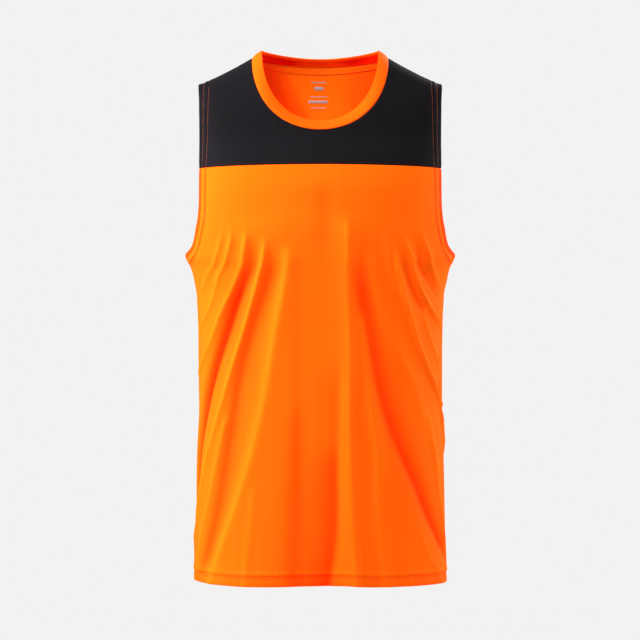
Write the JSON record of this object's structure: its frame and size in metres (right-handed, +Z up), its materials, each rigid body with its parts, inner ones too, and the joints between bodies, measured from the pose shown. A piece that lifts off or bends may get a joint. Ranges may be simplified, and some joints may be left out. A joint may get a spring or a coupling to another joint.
{
  "type": "volleyball jersey",
  "caption": "Sleeveless volleyball jersey, filled out as if worn: a hollow knit body with a contrast chest yoke, a round neckband and open armholes.",
  "frame": {"origin": "midway between the two high shoulder points, where the shoulder seams meet the neckband and the wearer's shoulders hold the jersey", "axes": "+Z up, -Y out of the front, +X to the wearer's left"},
  "size_m": [0.3722, 0.2439, 0.7291],
  "materials": {
    "orange_knit": "satin polyester knit",
    "black_knit": "satin polyester knit",
    "neckband_knit": "satin polyester knit",
    "neck_tape": "matt woven tape"
  },
  "bodies": {
    "root": {"front_body": "orange_knit", "front_yoke": "black_knit", "back_panel": "orange_knit", "neckband": "neckband_knit", "neck_tape": "neck_tape"}
  },
  "joints": []
}
